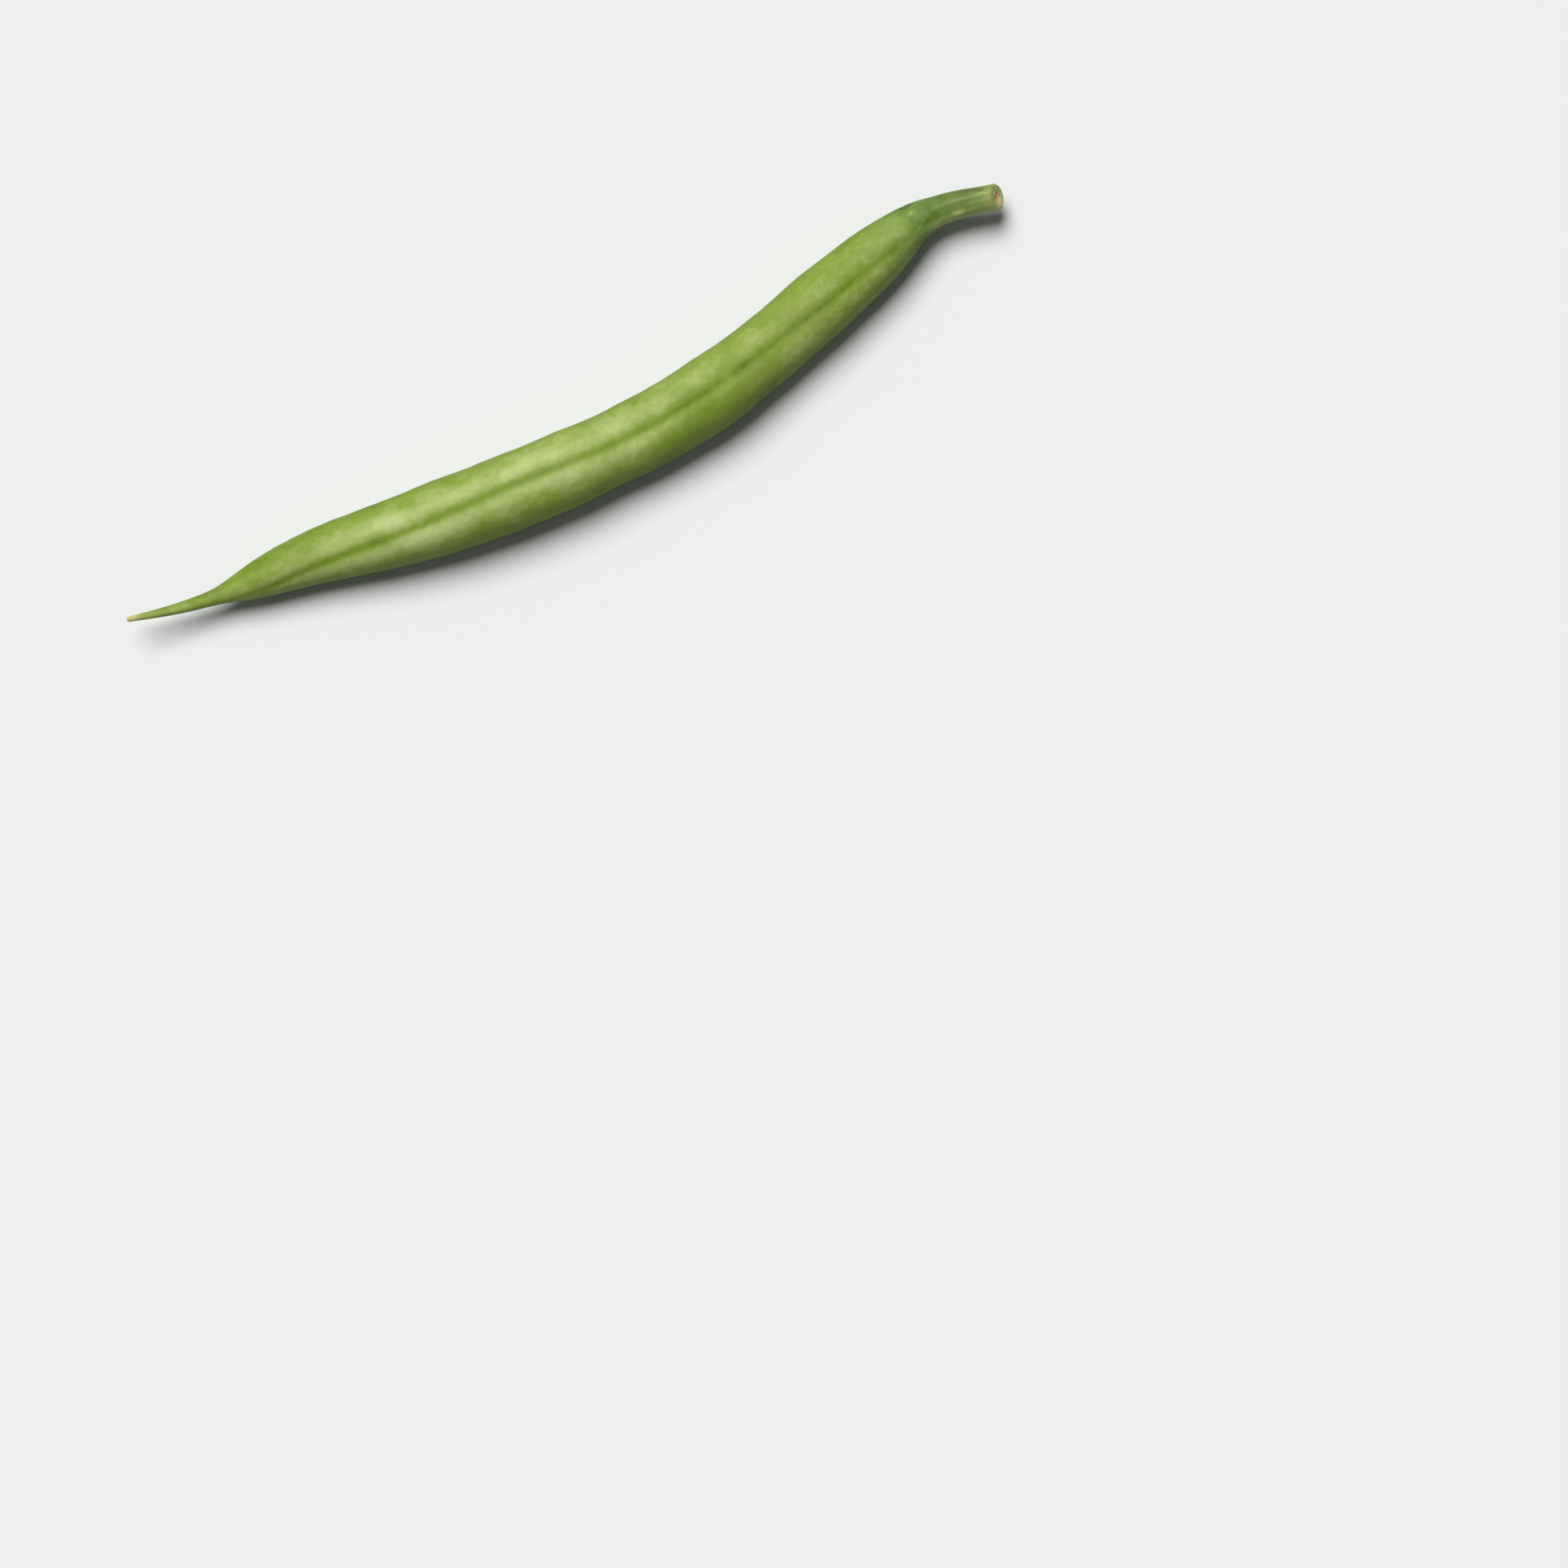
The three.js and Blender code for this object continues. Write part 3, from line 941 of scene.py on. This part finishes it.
@dataclass
class Stem:
    """The stem: a ribbed stalk that flares a little at its sloping, dried cut end.

    What goes by the share of the face runs from 0 at the side to 1 in the middle.
    """

    spine: Spine
    stalk: Stalk = Stalk()
    start: float = 124.0
    rows: int = 150
    face_rows: int = 60
    columns: int = 180
    flare: float = 0.1
    end_length: float = 2.6  # how much of the end flares and turns olive
    cut_slope: float = 0.42
    cut_turn: float = 4.0
    cut_reach: float = 3.5
    rim_round: float = 0.36
    rim_share: float = 0.28
    dish: tuple[Rise, ...] = (
        Rise(0.28, 0.7, 0.22),  # the dish
        Rise(0.6, 0.9, 0.3),  # the hollow pith
    )
    step_edge: float = 0.5
    step_waver: Ripple = Ripple(seed=23, height=0.06, waves=9, most_turns=6)
    step_depth: float = 0.16
    step_width: float = 0.1
    fibres: Ripple = Ripple(seed=21, waves=20, shortest=1.1, longest=3, most_turns=9)
    fibre_length: float = 6.0  # how many millimetres of ripple there are across the face
    fibre_height: Rise = Rise(0.05, 0.3, 0.035)
    scar: Spot = Spot(127.5, 46, 0.8, 0.48)
    scar_height: float = 0.07
    scar_paleness: float = 0.55
    scar_warmth: float = 0.4
    slit: Spot = Spot(127.6, 60, 0.5, 0.06)
    slit_depth: float = 0.08
    slit_darkness: float = 0.5
    olive_stop: float = 0.3  # how far before the end it is as olive as it gets
    olive_paleness: float = 0.06
    olive_warmth: float = 0.2
    aging: Rise = Rise(125.2, 128, 0.12)
    drying: tuple[Rise, ...] = (
        Rise(0.16, 0.34, 0.35),  # the rim's inner edge
        Rise(0.7, 0.95, 0.3),  # the brown core
    )
    step_drying: float = 0.3
    step_drying_width: float = 0.14
    fibre_drying: float = 0.02
    pole_tones: Pair = (0.3, 0.3)
    pole_warmth: Pair = (0.1, 0.3)
    pole_scar: Pair = (0.0, 0.95)

    def side_reach(self, side: Array, turns: Array) -> Array:
        """Returns the side's distance from the spine.

        It is the half width, a flare on one side of the end, shallow ribs, a raised scar and
        the slit in it.

        Args:
            side: Distances along the spine.
            turns: Turns round it, in radians.

        Returns:
            The distances, in millimetres.
        """
        radius = self.spine.radius(side)
        end = self.spine.length
        flare = self.flare * smoothstep(side, end - self.end_length, end)
        scar = self.scar_height * self.scar(side, turns, radius)
        slit = self.slit_depth * self.slit(side, turns, radius)
        relief = self.stalk.relief(side, turns)
        return radius + flare * (0.5 - 0.5 * np.sin(turns)) + relief + scar - slit

    def face(self, turn: Array) -> tuple[Array, Array, Array]:
        """Works out the cut face.

        Past the side it rises as a quarter circle, the rounded rim. Then it dips as a dry dish
        with a ragged step and a hollow pith, roughened by torn fibres. It is green at the rim,
        dry inside it, and brown in the middle.

        Args:
            turn: Turns round the spine, in radians.

        Returns:
            The share of the face, the distance along the spine and the value of the scar layer.
        """
        inward = np.linspace(0.0, 1.0, self.face_rows + 1)[1:-1][:, None]
        torn = self.fibres(self.fibre_length * inward, turn)
        edge = self.step_edge + self.step_waver(np.zeros_like(turn), turn)
        rounding = np.clip(inward / self.rim_share, 0.0, 1.0)
        rise = self.rim_round * np.sqrt(1.0 - (1.0 - rounding) ** 2)
        step = self.step_depth * smoothstep(inward, edge, edge + self.step_width)
        dips = sum(dip(inward) for dip in self.dish) + step
        distance = self.spine.length - self.rim_round + rise - dips
        distance = distance + self.fibre_height(inward) * torn
        dry = sum(band(inward) for band in self.drying) + self.fibre_drying * torn
        dry = dry + self.step_drying * smoothstep(inward, edge, edge + self.step_drying_width)
        return inward, distance, dry

    def build(self) -> bpy.types.Object:
        """Builds the stem, with its cut face, as one skin.

        Rows run along the side, then in over the face to the middle. The whole end leans.

        Returns:
            The finished object.
        """
        end = self.spine.length
        turn = turns_round(self.columns)
        side = np.linspace(self.start, end - self.rim_round, self.rows)[:, None]
        side = np.broadcast_to(side, (self.rows, self.columns))
        side_reach = self.side_reach(side, turn)
        inward, face, dry = self.face(turn)
        distance = np.concatenate([side, face])
        reach = np.concatenate([side_reach, side_reach[-1:] * (1.0 - inward)])
        turns = np.broadcast_to(turn, distance.shape)
        lean = smoothstep(distance, end - self.cut_reach, end - self.rim_round)
        lean = self.cut_slope * lean * reach * np.cos(turns - np.radians(self.cut_turn))
        rings = self.spine.skin(distance - lean, turns, reach)
        poles = np.stack([self.spine.at(self.start), rings[-1].mean(axis=0)])
        on_side = np.arange(len(distance))[:, None] < self.rows
        olive = smoothstep(distance, end - self.end_length, end - self.olive_stop)
        scar = self.scar(distance, turns, reach) * on_side
        slit = self.slit(distance, turns, reach) * on_side
        tone = self.stalk.tone(distance, turns, reach) + self.olive_paleness * olive
        tone = tone + self.scar_paleness * scar - self.slit_darkness * slit
        warmth = self.aging(distance) + self.olive_warmth * olive + self.scar_warmth * scar
        grain_ends = np.outer([self.start, end], ALONG)
        layers = {
            Layer.GRAIN: (straightened(distance, turns, reach), grain_ends),
            Layer.TONE: (tone, self.pole_tones),
            Layer.COOLNESS: (np.ones_like(distance), (1.0, 1.0)),
            Layer.WARMTH: (warmth, self.pole_warmth),
            Layer.SCAR: (np.zeros_like(side), dry, self.pole_scar),
        }
        return Skin(Part.STEM, rings, poles, layers, self.stalk.finish).settle()


# ---- The studio ----


@dataclass(frozen=True)
class Studio:
    """A pale floor, soft daylight from the upper left of the picture, and a camera above."""

    cut_end: Array  # the spine's end
    picture_width: int = 1932  # pixels
    pixel: float = 0.11  # millimetres across one pixel at the bean's height
    cut_end_pixel: Pair = (1230.2, 243.4)
    roll: float = 25.684  # degrees that the bean's chord climbs to the right in the picture
    lens: float = 100.0
    sensor: float = 36.0
    bean_height: float = 4.5
    floor_half: float = 4000.0
    floor_colour: str = "#cdcecd"
    floor_roughness: float = 0.8
    floor_gloss: float = 0.1
    sky_colour: Colour = (0.97, 0.98, 1.0, 1.0)
    sky_strength: float = 0.13
    backdrop_strength: float = 0.85
    lamp_tilt: float = 29.0  # degrees that it leans from straight overhead
    lamp_heading: float = 30.0  # degrees from up in the picture towards the left
    lamp_spread: float = 36.0  # degrees across it, as the bean would see it
    lamp_strength: float = 4.55  # watts on a square metre that faces it

    def axes(self) -> tuple[Vector, Vector]:
        """Works out how the picture lies on the floor.

        Returns:
            The directions that run right and up in the picture.
        """
        turn = np.radians(-self.roll)
        right = Vector((np.cos(turn), np.sin(turn), 0.0))
        return right, Vector((-right.y, right.x, 0.0))

    def add_camera(self) -> None:
        """Hangs the camera over the floor, looking straight down, turned to the picture.

        The cut end's place in the picture gives where the picture's middle lies.
        """
        data = bpy.data.cameras.new("camera")
        data.lens, data.sensor_width = self.lens, self.sensor
        right, up = self.axes()
        middle = self.picture_width / 2.0
        across = (self.cut_end_pixel[0] - middle) * self.pixel
        above = (middle - self.cut_end_pixel[1]) * self.pixel
        place = Vector(self.cut_end.tolist()) - right * across - up * above
        height = self.lens / self.sensor * self.picture_width * self.pixel + self.bean_height
        camera = placed(data)
        camera.location = Vector((place.x, place.y, height)) * MM
        camera.rotation_euler = Euler((0.0, 0.0, -np.radians(self.roll)))
        bpy.context.scene.camera = camera

    def add_floor(self) -> None:
        """Lays a plain pale floor under the bean."""
        half = self.floor_half * MM
        corners = [(-half, -half, 0.0), (half, -half, 0.0), (half, half, 0.0), (-half, half, 0.0)]
        mesh = bpy.data.meshes.new("floor")
        mesh.from_pydata(corners, [], [(0, 1, 2, 3)])
        recipe = Recipe(bpy.data.materials.new("floor_paint"))
        inputs = {
            "Base Color": linear(self.floor_colour),
            "Roughness": self.floor_roughness,
            "Specular IOR Level": self.floor_gloss,
        }
        mesh.materials.append(recipe.finish(recipe.node("BsdfPrincipled", inputs)))
        floor = placed(mesh)

    def add_lamp(self) -> None:
        """Hangs a broad soft light, so far off that it falls alike on the whole floor."""
        tilt, heading = np.radians(self.lamp_tilt), np.radians(self.lamp_heading)
        right, up = self.axes()
        level = up * np.cos(heading) - right * np.sin(heading)
        towards = level * np.sin(tilt) + Vector((0.0, 0.0, np.cos(tilt)))
        data = bpy.data.lights.new("key", "SUN")
        data.angle, data.energy = np.radians(self.lamp_spread), self.lamp_strength
        light = placed(data)
        light.location = towards
        light.rotation_euler = towards.to_track_quat("Z", "Y").to_euler()

    def build(self) -> None:
        """Sets the floor, the camera, the lamp and the sky round the bean."""
        self.add_floor()
        self.add_camera()
        self.add_lamp()
        self.add_sky()
        bpy.context.scene.view_settings.view_transform = "Standard"

    def add_sky(self) -> None:
        """Lights the bean from all round, and shows a plain pale backdrop past the floor."""
        recipe = Recipe(bpy.data.worlds.new("sky"))
        sky, backdrop = (
            recipe.node("Background", {"Color": self.sky_colour, "Strength": strength}).outputs[0]
            for strength in (self.sky_strength, self.backdrop_strength)
        )
        seen = recipe.node("LightPath", {}).outputs["Is Camera Ray"]
        shown = recipe.node("MixShader", {0: seen, 1: sky, 2: backdrop})
        bpy.context.scene.world = recipe.finish(shown, "OutputWorld")


def placed_spine(body_end: float = 119.0, samples: int = 1200) -> Spine:
    """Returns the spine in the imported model's frame.

    The beak's tip lies at the pod's lowest x, and the whole is slid sideways until the middle
    of the sagging body comes as low in y as the pod's own box.

    Args:
        body_end: Where along the spine the body ends.
        samples: At how many places up to there the body's lower edge is worked out.

    Returns:
        The spine, with its origin set.
    """
    spine = Spine()
    low = np.array(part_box(Part.POD.value)[0]) / MM
    distance = np.linspace(0.0, body_end, samples)
    edge = spine.skin(distance, np.full_like(distance, np.pi / 2.0), spine.radius(distance))
    spine.origin = np.array([low[0] - spine.points[0][0], low[1] - edge[:, 1].min(), 0.0])
    return spine


def main() -> None:
    """Builds the bean and its studio, and logs each piece's count of points and faces."""
    logging.basicConfig(level=logging.INFO, format="%(name)s %(message)s")
    spine = placed_spine()
    pod = Pod(spine)
    for piece in (pod, Calyx(spine, pod), Stem(spine)):
        shown = piece.build()
        mesh = shown.data
        log.info("%s: %d points, %d faces", shown.name, len(mesh.vertices), len(mesh.polygons))
    Studio(spine.at(spine.length)).build()


if __name__ == "__main__":
    main()
